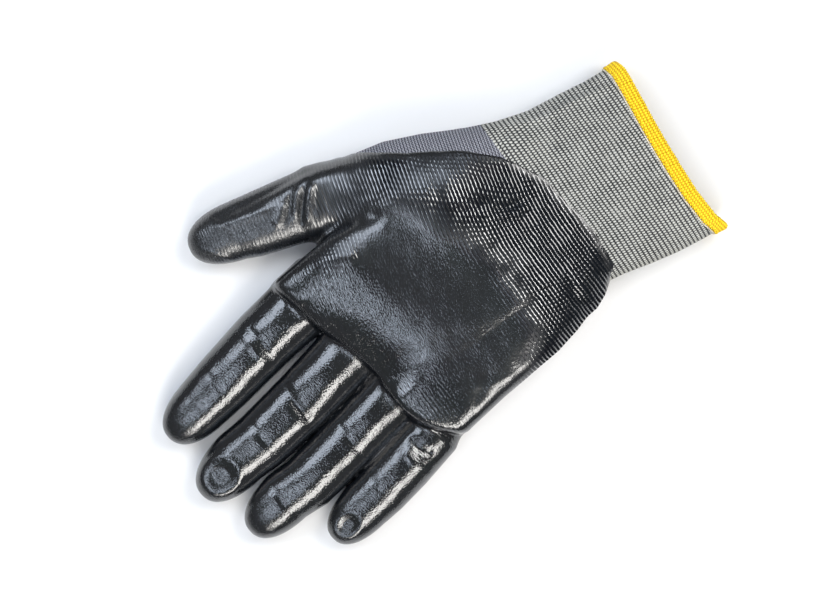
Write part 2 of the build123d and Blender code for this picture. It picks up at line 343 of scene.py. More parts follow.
def unit(vectors):
    return vectors / np.maximum(np.linalg.norm(vectors, axis=1), 1e-9)[:, None]


def mesh_normals(points, faces):
    """Outward direction at each point, averaged over its faces."""
    across = points[faces[:, 2]] - points[faces[:, 0]]
    along = points[faces[:, 3]] - points[faces[:, 1]]
    normals = np.zeros_like(points)
    for corner in range(4):
        np.add.at(normals, faces[:, corner], np.cross(across, along))
    return unit(normals)


def relax(points, faces, rounds, share):
    """Evens out a mesh by moving each point towards the middle of its neighbours."""
    for _ in range(rounds):
        total = np.zeros_like(points)
        count = np.zeros(len(points))
        for corner in range(4):
            for beside in (corner - 1, corner - 3):
                np.add.at(total, faces[:, corner], points[faces[:, beside]])
                np.add.at(count, faces[:, corner], 1)
        points = points + share * (total / np.maximum(count, 1)[:, None] - points)
    return points


def route_distance(points, route):
    """Distance in plan from points to a route of straight runs, and how far along it, from 0 to 1."""
    best = np.full(len(points), 1e9)
    share = np.zeros(len(points))
    runs = [(np.array(a, float), np.array(b, float)) for a, b in zip(route, route[1:])]
    total = sum(np.linalg.norm(b - a) for a, b in runs)
    passed = 0.0
    for a, b in runs:
        length = np.linalg.norm(b - a)
        t = np.clip(((points[:, :2] - a) @ (b - a)) / length ** 2, 0, 1)
        gap = np.linalg.norm(points[:, :2] - a - t[:, None] * (b - a), axis=1)
        closer = gap < best
        best = np.where(closer, gap, best)
        share = np.where(closer, (passed + t * length) / total, share)
        passed += length
    return best, share


# Folds on the palm side: a route in plan, half width and height; a negative height is a crease
FOLDS = [
    # thumb: the edge along its side, a crease under it, wrinkles at its root and the hollow beside the palm
    (((104, -70), (118, -77), (135, -82), (150, -84)), 3.6, 0.6),
    (((150, -82), (160, -85), (170, -88), (176, -92)), 2.2, 0.8),
    (((122, -83.5), (134, -86.5), (146, -88), (160, -90.5), (171, -93)), 2.0, -0.7),
    (((129.5, -80), (134, -76), (139, -71), (143, -66)), 1.5, 1.0),
    (((132.5, -81), (137, -77), (141.5, -72.5), (145, -68)), 1.3, -1.0),
    (((136, -81.5), (140, -77.5), (144.5, -73)), 1.5, 0.9),
    (((139.5, -82), (143.5, -78), (148, -74)), 1.3, -0.5),
    (((145, -80.5), (149.5, -77), (154, -74.5)), 1.8, 0.8),
    (((170.5, -86), (171.5, -91), (172.5, -96)), 1.1, -0.7),
    (((177, -75), (182, -81.5), (187, -89)), 0.9, 0.35),
    (((113, -50), (126, -56), (140, -60)), 3.2, -0.8),
    (((132, -42), (140, -47), (150, -52)), 2.6, 0.5),
    # fold along the cuff's thumb side
    (((3, -34.5), (20, -39), (35, -42), (45, -45), (56, -51)), 1.5, 0.9),
    (((4, -37.5), (20, -42), (35, -45), (46, -48.5)), 1.3, -1.0),
    # folds over the heel
    (((62, -19), (70, -21), (77, -25)), 1.5, -0.7),
    (((62, -16), (71, -17), (78, -21)), 1.5, 0.5),
    (((72, -26), (80, -29), (90, -33)), 1.8, -0.5),
    (((70, 36), (71, 28), (70, 20)), 2.2, -1.3),
    (((64, 34), (65, 27), (65, 20)), 2.6, 1.0),
    (((76, 31), (92, 35), (108, 38)), 3.0, 0.6),
    (((118, 30), (128, 34), (136, 41)), 2.2, -0.25),
    (((108, 37), (118, 35), (128, 30)), 2.5, 0.2),
    # creases across the fingers at their joints
    (((190.0, -50), (188.5, -40), (190, -28)), 1.3, -0.45),
    (((193.5, -50), (193, -38), (193.5, -28)), 1.3, 0.35),
    (((216, -45), (215.5, -35), (216, -24)), 1.3, -0.2),
    (((192.5, -21), (193.5, -10), (192.5, 2)), 2.4, -0.9),
    (((214, -18), (214, -6), (213, 6)), 1.6, -0.35),
    (((184, 7), (184.5, 17), (184, 28)), 1.5, -0.4),
    (((223.5, 11), (224, 22), (223, 32)), 1.3, -0.3),
    (((159, 44), (163, 38), (163, 31)), 2.0, -0.8),
    (((165, 52), (168, 44), (169, 33)), 1.8, 0.5),
    (((187, 34), (187, 45), (186, 54)), 1.4, -0.2),
]

# Flattened fingertip pads: middle in plan, half length, half width, depth, heading in degrees
PADS = [
    ((238.5, -4.0), 8.5, 8.0, 1.7, 7),
    ((208.0, 45.8), 6.5, 5.2, 1.3, 9),
]

# Broad swellings of the palm: middle in plan, half length, half width and height, along X then Y
SWELLINGS = [
    ((85, -38), 22, 16, 3.2),
    ((84, 20), 22, 12, 0.7),
    ((140, -48), 9, 8, 1.0),
    ((147, 28), 8, 8, 0.5),
    ((178, -41), 9, 8, 0.7),
    ((203, -37), 9, 8, 0.6),
    ((175, -11), 10, 8, 0.8),
    ((172, 15), 9, 7, 0.7),
    ((203, 20), 14, 7, 0.6),
    ((178, 41), 9, 7, 0.5),
]


def waves(points, scale, seed):
    """A smooth, repeatable unevenness between about -1 and 1."""
    chance = np.random.default_rng(seed)
    total = np.zeros(len(points))
    for _ in range(7):
        direction = chance.normal(size=3)
        direction /= np.linalg.norm(direction)
        turn = points @ direction * 2 * math.pi / (scale * chance.uniform(0.6, 1.6))
        total += np.sin(turn + chance.uniform(0, 6.3))
    return total / 3.5


def hills(points, table):
    """The sum of soft hills: each has a middle in plan, a half length, a half width and a height."""
    total = np.zeros(len(points))
    for centre, half_x, half_y, tall in table:
        reach = ((points[:, 0] - centre[0]) / half_x) ** 2 + ((points[:, 1] - centre[1]) / half_y) ** 2
        total += tall * np.exp(-reach)
    return total


def relief(points, normals):
    """How far the palm side stands out of its plain form at each point."""
    facing = smooth_step(0.05, 0.45, normals[:, 2])
    height = np.zeros(len(points))
    for route, width, tall in FOLDS:
        gap, share = route_distance(points, route)
        fade = smooth_step(0, 0.18, share) * smooth_step(0, 0.18, 1 - share)
        height += tall * np.exp(-(gap / width) ** 2) * (0.25 + 0.75 * fade)
    height += hills(points, SWELLINGS)
    for centre, half_length, half_width, deep, heading in PADS:
        turn = math.radians(heading)
        along, side = plan_frame(points, centre, np.array((math.cos(turn), math.sin(turn))))
        reach = np.hypot(along / half_length, side / half_width)
        rim = 0.12 * deep * np.exp(-((reach - 1.05) / 0.16) ** 2)
        height += rim - deep * (1 - smooth_step(0.35, 1.0, reach))
    height += 0.16 * waves(points, 30.0, 3) + 0.05 * waves(points, 10.0, 5)
    return height * facing


# The coating's edge in plan on the thumb's side and over the heel, and its height round the palm's sides
BARE_X = (50, 53, 56, 60, 65, 72, 80, 90, 100, 105, 110, 115, 120, 130, 150)
BARE_Y = (-20, -27, -33, -40, -45, -52, -58, -65, -73, -77, -80, -82.5, -84.6, -91, -105)
BARE_STEEPNESS = 0.78
HEEL_Y = (-33, -27, -20, -12, 0, 10, 20, 26, 29, 36)
HEEL_X = (56, 53, 50, 50, 48, 47.5, 48, 50, 54, 58)
LITTLE_SIDE_LEVEL = 8.0
THUMB_SIDE_LEVEL = 10.5
DIGIT_LEVEL = -2.0           # from a digit's middle line, and lower towards the tip


def coating_edge(points):
    """Distance, roughly, inside the coating's edge on the palm; negative on bare knit."""
    x, y, z = points.T
    thumb_side = (y - np.interp(x, BARE_X, BARE_Y)) * BARE_STEEPNESS
    heel = x - np.interp(y, HEEL_Y, HEEL_X)
    level = np.where(y > 0, LITTLE_SIDE_LEVEL, THUMB_SIDE_LEVEL)
    return np.minimum(np.minimum(thumb_side, heel), z - level)


def coating_inside(points, lanes, places):
    """Distance inside the coating's edge, which on a digit's sides drops towards the tip."""
    inside = coating_edge(points)
    for number, name in enumerate(DIGITS):
        along, _, up, _ = places[name]
        drop = np.clip(along - DIGITS[name]["length"] * 0.45, 0, None) * 0.5
        inside = np.where(lanes == number, up - DIGIT_LEVEL + drop, inside)
    return inside + 0.35 * waves(points, 11.0, 8) + 0.15 * waves(points, 3.1, 9)


# How far each bend reaches before and past its hinge, from root joint to tip joint
BENDS = {
    "thumb": ((2.0, 15.5), (10.5, 10.5)),
    "little": ((3.0, 15.5), (9.0, 9.0), (8.0, 8.0)),
}
FINGER_BENDS = ((3.0, 16.0), (10.5, 10.5), (9.0, 9.0))

# A surface point's lane is its digit's number, or one of these
PALM = -1
HEEL = -2
HEEL_END = 75.0
KNIT_CHANGE = 58.5           # the plaited cuff knit turns into the plain liner knit here
LANE_START = -3.0
LANE_REACH = 1.6             # in half widths from a digit's middle line
THUMB_LANE_REACH = 1.18
DIGIT_FADE = 12.0            # length over which the palm's knit and finish turn into a digit's


def digit_places(points):
    """The points in the frame of every digit."""
    return {name: digit_place(name, points) for name in DIGITS}


def digit_lanes(points, places):
    """The lane that each point belongs to."""
    lanes = np.full(len(points), PALM)
    nearest = np.full(len(points), 1e9)
    for number, name in enumerate(DIGITS):
        along, side, _, width = places[name]
        reach = np.abs(side) / width
        limit = THUMB_LANE_REACH if name == "thumb" else LANE_REACH
        mine = (along > LANE_START) & (reach < np.minimum(nearest, limit))
        nearest = np.where(mine, reach, nearest)
        lanes = np.where(mine, number, lanes)
    return lanes


def bend_zone(name, index):
    """Where one of a digit's bends starts and ends along it."""
    hinges = digit_hinges(name)
    along = np.linalg.norm((hinges[index] - hinges[0])[:2])
    before, past = BENDS.get(name, FINGER_BENDS)[index]
    return along - before, along + past


def segment_ends(name):
    """Where a digit is split, halfway between each bend and the next."""
    zones = [bend_zone(name, index) for index in range(len(digit_segments(name)))]
    return [(before[1] + after[0]) / 2 for before, after in zip(zones, zones[1:])]


def to_model(points):
    """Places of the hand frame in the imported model's frame, in metres."""
    return (np.asarray(points, float) + SHIFT) * MM


def add_object(name, data):
    """An object in the scene with this data."""
    made = bpy.data.objects.new(name, data)
    bpy.context.collection.objects.link(made)
    return made


def build_piece(name, points, faces, normals, attributes, material):
    """A mesh piece from the faces given, with its own copy of the points that they use."""
    used, inverse = np.unique(faces, return_inverse=True)
    mesh = bpy.data.meshes.new(name)
    mesh.from_pydata(to_model(points[used]).tolist(), [], inverse.reshape(faces.shape).tolist())
    mesh.polygons.foreach_set("use_smooth", [True] * len(mesh.polygons))
    for label, values in attributes.items():
        attribute = mesh.attributes.new(label, "FLOAT_VECTOR", "POINT")
        attribute.data.foreach_set("vector", values[used].astype(np.float32).ravel())
    if normals is not None:
        mesh.normals_split_custom_set_from_vertices(normals[used].tolist())
    mesh.materials.append(material)
    piece = add_object(name, mesh)
    return piece


def place_piece(piece, lane):
    """Attaches a palm piece of the glove's skin to the hand's body; any other piece only has its place baked
    into its points.
    """
    if lane == PALM:
        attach(piece, "hand")
        return
    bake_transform(piece)


def skin_piece(name, points, faces, normals, attributes, material, node, lane=HEEL):
    """A piece that takes a CAD node's place, hiding that node; only a palm piece is attached to a body and
    moves with it.
    """
    piece = build_piece(name, points, faces, normals, attributes, material)
    place_piece(piece, lane)
    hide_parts(node)


class Graph:
    """Builds a material's node tree a few nodes at a time; distances on attributes are in millimetres."""

    def __init__(self, name):
        self.material = bpy.data.materials.new(name)
        self.material.use_nodes = True
        self.tree = self.material.node_tree
        self.shader = self.tree.nodes["Principled BSDF"]

    def set(self, socket, value):
        """Links a socket, or gives it a number or a colour."""
        if isinstance(value, bpy.types.NodeSocket):
            self.tree.links.new(value, socket)
        elif isinstance(value, tuple):
            socket.default_value = (*value, 1)
        else:
            socket.default_value = value

    def node(self, kind, settings=(), **inputs):
        made = self.tree.nodes.new(kind)
        for label, value in dict(settings).items():
            setattr(made, label, value)
        for label, value in inputs.items():
            self.set(made.inputs[label], value)
        return made

    def math(self, operation, *values):
        made = self.node("ShaderNodeMath", {"operation": operation})
        for socket, value in zip(made.inputs, values):
            self.set(socket, value)
        return made.outputs[0]

    def times(self, a, b, *added):
        """a times b, with a third value added to it if there is one."""
        return self.math("MULTIPLY_ADD" if added else "MULTIPLY", a, b, *added)

    def wave(self, turns):
        """From 0 to 1 and back once each turn."""
        return self.times(self.math("SINE", self.times(turns, 2 * math.pi)), 0.5, 0.5)

    def places(self):
        """The stored places of the knit or thread, and their parts across and along."""
        stored = self.attribute("knit")
        return stored, *self.parts(stored)[:2]

    def attribute(self, name):
        return self.node("ShaderNodeAttribute", {"attribute_name": name}).outputs["Vector"]

    def parts(self, vector):
        return self.node("ShaderNodeSeparateXYZ", Vector=vector).outputs

    def vector(self, x, y, z=0.0):
        return self.node("ShaderNodeCombineXYZ", X=x, Y=y, Z=z).outputs[0]

    def noise(self, vector, size, detail=2.0):
        """Noise around 0.5 with features about this many millimetres across."""
        return self.node("ShaderNodeTexNoise", Vector=vector, Scale=1.0 / size, Detail=detail).outputs[0]

    def fit(self, value, low, high, new_low=0.0, new_high=1.0):
        """Carries one range smoothly to another, and holds the ends."""
        made = self.node("ShaderNodeMapRange", {"interpolation_type": "SMOOTHSTEP"}, Value=value)
        for socket, number in zip(made.inputs[1:5], (low, high, new_low, new_high)):
            socket.default_value = number
        return made.outputs[0]

    def mix(self, share, first, second):
        """A colour between two; the node has other sockets for numbers and vectors."""
        made = self.node("ShaderNodeMix", {"data_type": "RGBA"})
        for index, value in ((0, share), (6, first), (7, second)):
            self.set(made.inputs[index], value)
        return made.outputs[2]

    def finish(self, colour, roughness, height, depth, shine=0.5):
        """Wires the shader up; depth is the relief of a height of 1, in millimetres."""
        self.set(self.shader.inputs["Base Color"], colour)
        self.set(self.shader.inputs["Roughness"], roughness)
        self.set(self.shader.inputs["Specular IOR Level"], shine)
        bump = self.node("ShaderNodeBump", Height=height, Distance=depth * MM)
        self.set(self.shader.inputs["Normal"], bump.outputs[0])
        return self.material


# Spacings of the knit and yarn patterns, and the relief of each material's bump
ROW_WALE = 1.6
ROW_COURSE = 1.62
LINER_STITCH = 1.3
ELASTIC_WIND = 0.6
COATING_RELIEF = 0.29
LINER_RELIEF = 0.38
CUFF_RELIEF = 0.25
THREAD_RELIEF = 0.12
ELASTIC_RELIEF = 0.08


def stitches(graph, across, along, wale, course, lean):
    """Heights from 0 to 1 of knitted stitches: V shapes in columns a wale wide, a course apart."""
    side = graph.math("PINGPONG", graph.math("DIVIDE", across, wale), 0.5)
    row = graph.wave(graph.math("ADD", graph.math("DIVIDE", along, course), graph.times(side, lean)))
    leg = graph.math("ABSOLUTE", graph.math("SINE", graph.times(side, 4 * math.pi)))
    return graph.times(row, graph.times(leg, 0.45, 0.55))


def ribs(graph, across, along, wale, course):
    """Heights from 0 to 1 of knit rows under a skin, and where it shines over their shoulders."""
    phase = graph.math("DIVIDE", along, course)
    turn = graph.math("ADD", graph.math("DIVIDE", across, wale), graph.times(phase, 0.5))
    dash = graph.math("SINE", graph.times(turn, 2 * math.pi))
    height = graph.times(graph.wave(phase), graph.times(dash, 0.16, 0.84))
    shoulder = graph.math("SINE", graph.times(graph.math("ADD", phase, 0.11), 2 * math.pi))
    return height, graph.fit(graph.times(dash, 0.22, shoulder), 0.30, 0.85)


def coating_rows(graph, knit, across, along):
    """Rows that wander and fade in patches: their heights, their shoulders, and how lit those are."""
    drift = graph.times(graph.noise(knit, 6.0, 1.0), 0.8, along)
    sway = graph.times(graph.noise(graph.vector(along, across), 9.0), 1.2, across)
    stitch, shoulder = ribs(graph, sway, drift, ROW_WALE, ROW_COURSE)
    patchy = graph.fit(graph.noise(knit, 8.0, 1.0), 0.36, 0.58, 0.45, 1.0)
    return graph.times(stitch, patchy), shoulder, graph.times(shoulder, patchy)


def coating_material():
    """Near-black dipped nitrile, with rows and grain as each place's finish asks, and a painted sheen that
    pales its colour over the rows' stitches and where the finish asks for it.
    """
    graph = Graph("nitrile")
    knit, across, along = graph.places()
    rows, coarse, painted_sheen_share = graph.parts(graph.attribute("finish"))
    stitch, shoulder, lit = coating_rows(graph, knit, across, along)
    grain = graph.noise(graph.vector(across, graph.times(along, 1.6)), 0.9, 1.0)
    skin = graph.noise(knit, 2.6, 2.0)
    height = graph.times(grain, coarse, graph.times(stitch, rows))
    height = graph.times(skin, 0.26, height)
    # painted sheen: how much of the pale colour the rows' stitches take
    painted_row_sheen = graph.times(graph.times(stitch, 0.6, 0.4), rows)
    dark = graph.mix(graph.fit(skin, 0.35, 0.65), (0.0032, 0.0042, 0.0058), (0.0060, 0.0076, 0.0102))
    # the pale colour is a painted sheen, with the grain in it
    pale = graph.mix(graph.fit(grain, 0.3, 0.7), (0.016, 0.018, 0.022), (0.030, 0.033, 0.040))
    # the finish's third part and the rows' stitches mix the painted sheen's pale colour into the dark
    # nitrile
    colour = graph.mix(graph.times(painted_row_sheen, 0.12, painted_sheen_share), dark, pale)
    # the furrows between the rows are rougher and shine less than the rows' shoulders
    furrow = graph.times(rows, graph.math("SUBTRACT", 1.0, shoulder))
    rough = graph.times(graph.noise(knit, 1.7, 2.0), 0.08, graph.fit(painted_sheen_share, 0.03, 0.12, 0.07, 0.18))
    rough = graph.times(furrow, 0.4, rough)
    shine = graph.times(graph.math("SUBTRACT", lit, 0.5), rows, 0.5)
    graph.shader.inputs["IOR"].default_value = 2.0
    return graph.finish(colour, rough, height, COATING_RELIEF, shine)


def liner_material():
    """Fine grey knit with a violet cast, flecks of the paler core yarn, and painted shading in the gaps
    between its stitches.
    """
    graph = Graph("grey_knit")
    knit, across, along = graph.places()
    sway = graph.times(graph.noise(knit, 9.0), 0.8, across)
    stitch = stitches(graph, sway, along, LINER_STITCH, LINER_STITCH, 0.8)
    fleck = graph.noise(knit, 0.5, 2.0)
    mottle = graph.fit(graph.noise(knit, 8.0, 3.0), 0.35, 0.65)
    # deep: painted shading in the gaps between the stitches, mottled at random
    deep = graph.mix(mottle, (0.045, 0.046, 0.060), (0.065, 0.066, 0.082))
    thread = graph.mix(graph.fit(fleck, 0.42, 0.6), (0.29, 0.295, 0.34), (0.48, 0.485, 0.54))
    # the stitches' crests take the yarn's colour and their gaps the painted shading
    colour = graph.mix(graph.fit(stitch, 0.12, 0.62), deep, thread)
    rough = graph.fit(fleck, 0.3, 0.7, 0.78, 0.95)
    return graph.finish(colour, rough, graph.times(fleck, 0.25, stitch), LINER_RELIEF, 0.25)


def cuff_material():
    """Off-white plaited yarn in short dashes, row above row, over a dark grey ground, which also serves as
    painted shading in the hollows between the loops.
    """
    graph = Graph("cuff_knit")
    knit, across, along = graph.places()
    loop = graph.parts(graph.attribute("loop"))[0]
    fibre = graph.noise(graph.vector(graph.times(across, 0.35), along), 0.22, 3.0)
    mottle = graph.noise(knit, 6.0, 3.0)
    # ground: the dark ground yarn, and painted shading in the hollows between the loops
    ground = graph.mix(graph.fit(mottle, 0.35, 0.65), (0.030, 0.032, 0.034), (0.050, 0.051, 0.052))
    white = graph.mix(graph.fit(fibre, 0.35, 0.65), (0.41, 0.41, 0.38), (0.70, 0.70, 0.65))
    # the colour follows the loops' height, so the hollows between them take the dark ground as painted
    # shading
    edge = graph.times(graph.math("SUBTRACT", fibre, 0.5), 0.5, loop)
    colour = graph.mix(graph.fit(edge, 0.30, 0.66), ground, white)
    rough = graph.fit(fibre, 0.3, 0.7, 0.75, 0.95)
    return graph.finish(colour, rough, graph.times(fibre, 0.35, loop), CUFF_RELIEF, 0.25)


def thread_material(name, deep, bright, twist):
    """Spun thread: its own colour on the strands, and painted shading in the grooves of its twist."""
    graph = Graph(name)
    place, around, along = graph.places()
    strand = graph.wave(graph.math("ADD", graph.math("DIVIDE", along, twist), around))
    fibre = graph.noise(place, 0.3, 3.0)
    mixed = graph.times(graph.math("SUBTRACT", fibre, 0.5), 0.8, strand)
    # the grooves of the twist take the deep colour as painted shading
    colour = graph.mix(graph.fit(mixed, 0.0, 0.8), deep, bright)
    return graph.finish(colour, graph.fit(fibre, 0.3, 0.7, 0.55, 0.8), strand, THREAD_RELIEF, 0.35)


def elastic_material():
    """Covered elastic: a white wrap wound closely round the core, with painted shading in the grooves
    between its windings.
    """
    graph = Graph("elastic_yarn")
    x, y, _ = graph.parts(graph.node("ShaderNodeTexCoord").outputs["Object"])
    wind = graph.wave(graph.math("DIVIDE", graph.math("ADD", y, x), ELASTIC_WIND * MM))
    # painted shading: darker where the windings dip
    colour = graph.mix(wind, (0.36, 0.35, 0.33), (0.72, 0.71, 0.68))
    return graph.finish(colour, graph.fit(wind, 0.0, 1.0, 0.9, 0.7), wind, ELASTIC_RELIEF)


ARC_STEPS = 720
SLEEVE_HALF_WIDTH = 46.0
SLEEVE_HALF_HEIGHT = 17.0


def section_arc(power, half_width, half_height):
    """Turns about a section's middle from its top, the distance round it, and its unit outline at each."""
    angle = np.linspace(-math.pi, math.pi, ARC_STEPS + 1)
    side = np.sign(np.sin(angle)) * np.abs(np.sin(angle)) ** (2 / power)
    up = np.sign(np.cos(angle)) * np.abs(np.cos(angle)) ** (2 / power)
    turn = np.unwrap(np.arctan2(side, up))
    step = np.hypot(np.diff(side * half_width), np.diff(up * half_height))
    arc = np.concatenate(((0,), np.cumsum(step)))
    return turn, arc - arc[ARC_STEPS // 2], side, up


PALM_TURN, PALM_ARC, PALM_SIDE, PALM_UP = section_arc(SECTION_POWER, SLEEVE_HALF_WIDTH, SLEEVE_HALF_HEIGHT)
SLEEVE_ROUND = PALM_ARC[-1] - PALM_ARC[0]
ARC_PER_WIDTH = 1.04         # distance round the palm for each millimetre across it
SLANT = 0.30                 # rows lean this much beyond SLANT_START on the thumb's side
SLANT_START = 14.0
SLANT_SOFTNESS = 14.0
DIGIT_RADIUS = 12.5          # of the round on which a digit's knit is counted
TIP_DOME = 0.7               # rows close in rings round a fingertip


def row_slant(y):
    """How far the rows are carried towards the cuff at the thumb's side of the palm."""
    reach = y + SLANT_START
    return 0.5 * SLANT * (np.hypot(reach, SLANT_SOFTNESS) - reach)


def plan_places(across, along):
    """Places with no third part, to store on a mesh."""
    return np.stack((across, along, np.zeros_like(along)), axis=1)


def digit_share(lanes, number, far):
    """How much each point takes a digit's knit and finish in place of the palm's."""
    return np.where(lanes == number, smooth_step(LANE_START, LANE_START + DIGIT_FADE, far), 0)


def knit_coordinates(points, lanes, places, face_up):
    """Millimetres across and along the knit; the count closes on the face away from view."""
    x, y, z = points.T
    sign = 1 if face_up else -1
    middle, half_width, centre, half_height = sleeve_size(x)
    turn = np.arctan2((y - middle) / half_width, sign * (z - centre) / half_height)
    across = np.interp(turn, PALM_TURN, PALM_ARC)
    along = x + row_slant(y)
    for number, name in enumerate(DIGITS):
        far, side, up, width = places[name]
        up = up / DIGIT_FLATTENING
        root = digit_hinges(name)[0]
        wrapped = np.arctan2(side, sign * up) * DIGIT_RADIUS + root[1] * ARC_PER_WIDTH
        dome = TIP_DOME * np.clip(width - np.hypot(side, up), 0, None)
        share = digit_share(lanes, number, far)
        across = across + share * (wrapped - across)
        along = along + share * (far + root[0] + row_slant(root[1]) + dome - along)
    return plan_places(across, along)


# Where the knit rows stop showing through the coating, at places across the palm
SPARKLE_Y = (-60, -45, -30, -15, 0, 20, 32, 40)
SPARKLE_X = (112, 107, 100, 95, 90, 95, 100, 110)
# Patches where they show more, or less: middle in plan, half length, half width, strength
ROW_PATCHES = [
    ((146, 29), 7, 9, 0.3),
    ((141, -50), 11, 7, 0.5),
    ((84, -52), 26, 10, -0.45),
    ((122, -66), 20, 12, 0.5),
]
# How strongly knit rows show, how grainy the skin is and how much painted sheen pales it, on the digits
THUMB_FINISH = np.array((0.14, 0.50, 0.12))
FINGER_FINISH = np.array((0.03, 0.42, 0.03))


def coating_finish(points, lanes, places, inside):
    """How strongly knit rows show, how grainy the skin is, and how much painted sheen pales its colour."""
    x, y, _ = points.T
    reach = np.interp(y, SPARKLE_Y, SPARKLE_X)
    rows = 0.06 + 0.94 * (1 - smooth_step(-13, 5, x - reach + 3 * waves(points, 16.0, 21)))
    rows += hills(points, ROW_PATCHES)
    rows = np.clip(rows, 0, 1) * (0.25 + 0.75 * smooth_step(0.5, 4.0, inside))
    centre = smooth_step(85, 105, x) * (1 - smooth_step(128, 140, x))
    coarse = (0.50 - 0.16 * centre) * (1 - 0.75 * rows)
    # the third part is painted sheen, stronger over the middle of the palm
    finish = np.stack((rows, coarse, 0.03 + 0.06 * centre), axis=1)
    for number, name in enumerate(DIGITS):
        share = digit_share(lanes, number, places[name][0])[:, None]
        finish += share * ((THUMB_FINISH if name == "thumb" else FINGER_FINISH) - finish)
    return finish


def formed_hand():
    """The hand's knitted surface with its folds: points, faces and outward directions."""
    points, faces = hand_surface()
    points = relax(points, faces, 2, 0.5)
    normals = mesh_normals(points, faces)
    points = points + normals * relief(points, normals)[:, None]
    points[:, 2] = np.maximum(points[:, 2], 0.05)
    return points, faces, mesh_normals(points, faces)


def face_stretches(points, faces):
    """Each face's lane, its segment along that digit, and its middle's X."""
    centres = points[faces].mean(axis=1)
    places = digit_places(centres)
    lanes = digit_lanes(centres, places)
    segments = np.zeros(len(faces), int)
    for number, name in enumerate(DIGITS):
        for split in segment_ends(name):
            segments += (lanes == number) & (places[name][0] > split)
    lanes = np.where((lanes == PALM) & (centres[:, 0] < HEEL_END), HEEL, lanes)
    return lanes, segments, centres[:, 0]


def stretches():
    """Each stretch of the glove: its lane, segment, name, and its liner and coating in CAD."""
    yield HEEL, 0, "heel", "hand_liner", "palm_coating"
    yield PALM, 0, "palm", "hand_liner", "palm_coating"
    for number, name in enumerate(DIGITS):
        for segment, part in enumerate(digit_segments(name)):
            yield number, segment, f"{name}_{part}", f"{name}_{part}_liner", f"{name}_{part}_coating"


def hand_skin(materials):
    """The knitted liner with its inner face, and the coating over it, a piece of each for every stretch."""
    points, faces, normals = formed_hand()
    places = digit_places(points)
    lanes = digit_lanes(points, places)
    face_lanes, face_segments, face_x = face_stretches(points, faces)
    inside = coating_inside(points, lanes, places)
    coated = (inside[faces] > COATED_FROM).all(axis=1)
    hidden = (inside[faces] > HIDDEN_FROM).all(axis=1)
    lift = COATING_THICKNESS * smooth_step(-0.3, 0.5, inside) - COATING_SINK
    skin = points + normals * lift[:, None]
    skin[:, 2] = np.maximum(skin[:, 2], 0.02)
    skin_normals = mesh_normals(skin, faces)
    finish = coating_finish(points, lanes, places, inside)
    on_skin = {"knit": knit_coordinates(points, lanes, places, True), "finish": finish}
    on_liner = {"knit": np.tile(knit_coordinates(points, lanes, places, False), (2, 1))}
    both = np.concatenate((points, points - normals * LINER_THICKNESS))
    both_normals = np.concatenate((normals, -normals))
    for lane, segment, label, liner_node, coating_node in stretches():
        mine = (face_lanes == lane) & (face_segments == segment)
        lined = mine & ((lane != HEEL) | (face_x > KNIT_CHANGE))
        both_faces = np.concatenate((faces[lined & ~hidden], faces[lined][:, ::-1] + len(points)))
        skin_piece(f"{label}_knit", both, both_faces, both_normals, on_liner,
                   materials["liner"], liner_node, lane)
        skin_piece(f"{label}_skin", skin, faces[mine & coated], skin_normals, on_skin,
                   materials["coating"], coating_node, lane)


# X of the cuff's end at places across it, and the cuff's and hem's sizes
HEM_Y = (-44, -41, -38, -25, -12, 0, 10, 22, 35, 41.5, 44)
HEM_X = (-3.2, -3.6, -4.0, -2, 0, 1.5, 2.5, 3.4, 3.0, 1.2, 1.0)
HEM_WIDTH = 5.0
CUFF_COURSE = 1.85
CUFF_WALE = 1.28
CUFF_WALES = 166
CUFF_LEAN = 0.045            # its rows lean this much for each millimetre across
CUFF_WALL = 1.3
CUFF_ROUND = 218             # millimetres counted round its inner face
LOOP_RELIEF = 0.38
WRAP_PITCH = 1.32
WRAP_COUNT = int(SLEEVE_ROUND / WRAP_PITCH)
WRAP_RADIUS = 0.66
WRAP_SLANT = 1.25            # in wraps
WRAP_BEND = 1.3              # how far the wraps stand out past the cuff's edge
WRAP_JITTER = 0.05
LOOPER_RADIUS = 0.36
TAIL_RADIUS = 0.34
GROUND_REACH = np.array((HEM_WIDTH, 3.4, 2.0, 1.0, 0.4, 0.4, 1.0, 2.2, 3.4))
GROUND_LIFT = np.array((0.12, 0.2, 0.2, 0.1, -0.3, -1.0, -1.4, -1.5, -1.5))


def sleeve_ring(x, share):
    """Points of the cuff's section at each x; share runs once round from the back."""
    arc = (share - 0.5) * SLEEVE_ROUND
    side = np.interp(arc, PALM_ARC, PALM_SIDE)
    up = np.interp(arc, PALM_ARC, PALM_UP)
    middle, half_width, centre, half_height = sleeve_size(x)
    return np.stack((x, middle + half_width * side, centre + half_height * up), axis=-1)


def hem_line(share):
    """X of the hem's end at each place round the cuff."""
    side = sleeve_ring(np.zeros_like(share), share)[..., 1]
    return np.interp(side, HEM_Y, HEM_X)


def grid_faces(rows, columns):
    """Four-sided faces of a grid whose columns close into a ring."""
    row, column = np.meshgrid(np.arange(rows - 1), np.arange(columns), indexing="ij")
    after = (column + 1) % columns
    return np.stack((row * columns + column, (row + 1) * columns + column, (row + 1) * columns + after,
                     row * columns + after), axis=-1).reshape(-1, 4)


def cuff_surface(rows, columns, near, far):
    """A ring grid on the cuff's outside, from near the hem to its end at the hand, with its relief."""
    share = np.tile(np.arange(columns) / columns, rows)
    run = np.repeat(np.linspace(0, 1, rows), columns)
    start = hem_line(share) + near
    points = settle(sleeve_ring(start + (far - start) * run, share), 5, 1.0, keep_x=True)
    faces = grid_faces(rows, columns)
    normals = mesh_normals(points, faces)
    points = points + normals * relief(points, normals)[:, None]
    points[:, 2] = np.maximum(points[:, 2], 0.05)
    return points, mesh_normals(points, faces), faces, share


